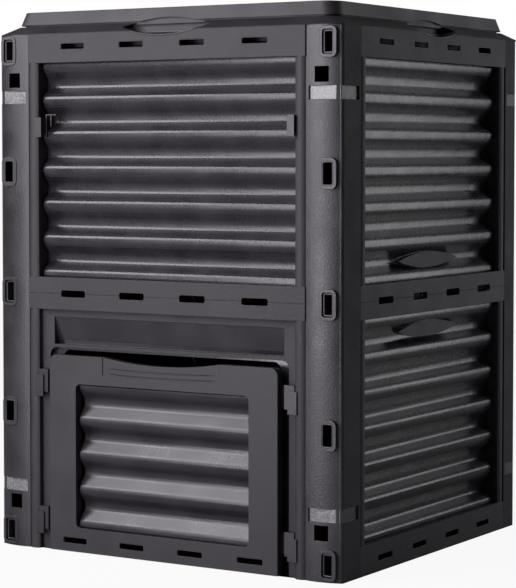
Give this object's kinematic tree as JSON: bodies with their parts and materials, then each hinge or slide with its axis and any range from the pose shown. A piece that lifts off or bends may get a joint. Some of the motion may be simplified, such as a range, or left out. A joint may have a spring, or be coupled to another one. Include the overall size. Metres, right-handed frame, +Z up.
{
  "type": "compost bin",
  "caption": "Black moulded plastic compost bin, square plan, corrugated wall panels between corner posts, hinged lid and lift-out door at the foot of the front",
  "frame": {"origin": "bottom centre of the bin, on the ground it stands on", "axes": "+Z up, the door and its opening face -Y, +X to the right of the door"},
  "size_m": [0.61, 0.603, 0.826],
  "materials": {
    "black_plastic": "fine grain, satin",
    "pin_plastic": "smooth, satin"
  },
  "bodies": {
    "bin": {"corner_post_front_left": "black_plastic", "corner_post_front_right": "black_plastic", "corner_post_rear_left": "black_plastic", "corner_post_rear_right": "black_plastic", "front_upper_panel": "black_plastic", "front_lower_panel": "black_plastic", "rear_upper_panel": "black_plastic", "rear_lower_panel": "black_plastic", "left_upper_panel": "black_plastic", "left_lower_panel": "black_plastic", "right_upper_panel": "black_plastic", "right_lower_panel": "black_plastic", "top_collar": "black_plastic", "lid_hinge_pin_left": "pin_plastic", "lid_hinge_pin_right": "pin_plastic", "door_guide_lower_left": "black_plastic", "door_guide_lower_right": "black_plastic", "door_guide_upper_left": "black_plastic", "door_guide_upper_right": "black_plastic", "panel_clip_left": "black_plastic", "panel_clip_right": "black_plastic"},
    "lid": {"lid": "black_plastic"},
    "door": {"door": "black_plastic"}
  },
  "joints": [
    {"name": "lid_hinge", "type": "hinge", "parent": "bin", "child": "lid", "pos_m": [0, 0.2963, 0.8085], "axis": [-1, 0, 0], "range_deg": [0, 100]},
    {"name": "door_lift", "type": "slide", "parent": "bin", "child": "door", "axis": [0, 0, 1], "range_m": [0, 0.05]}
  ]
}
